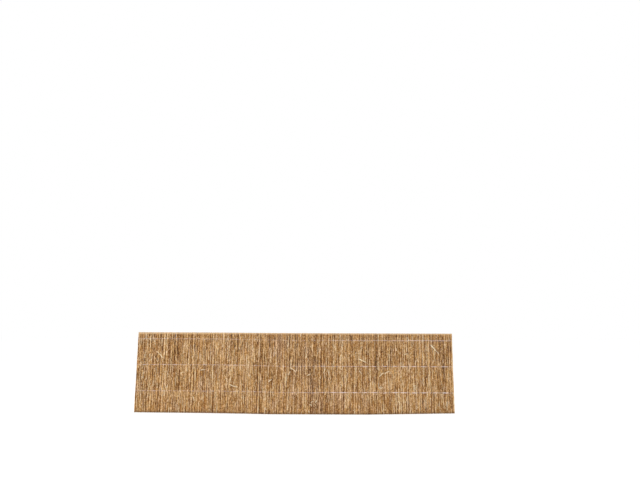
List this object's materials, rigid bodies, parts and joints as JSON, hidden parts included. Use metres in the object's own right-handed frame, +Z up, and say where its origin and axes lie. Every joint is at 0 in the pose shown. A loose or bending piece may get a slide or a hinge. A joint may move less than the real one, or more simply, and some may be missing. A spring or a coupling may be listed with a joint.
{
  "type": "reed fence panel",
  "caption": "Long low fence panel of upright natural reeds, bound into a mat by rows of pale twine and tied to a fence or rail as a screen.",
  "frame": {"origin": "middle of the bottom edge of the mat", "axes": "+X along the fence, +Y through the mat from the front face to the back, +Z up along the reeds"},
  "size_m": [4, 0.025, 1],
  "materials": {
    "reed": "dry natural reed, matt to satin",
    "binding_twine": "pale twisted twine",
    "loop_twine": "thin pale twine"
  },
  "bodies": {
    "root": {"reed_mat": "reed", "front_twine_top": "binding_twine", "back_twine_top": "binding_twine", "stitch_loops_top": "loop_twine", "front_twine_middle": "binding_twine", "back_twine_middle": "binding_twine", "stitch_loops_middle": "loop_twine", "front_twine_lower": "binding_twine", "back_twine_lower": "binding_twine", "stitch_loops_lower": "loop_twine"}
  },
  "joints": []
}
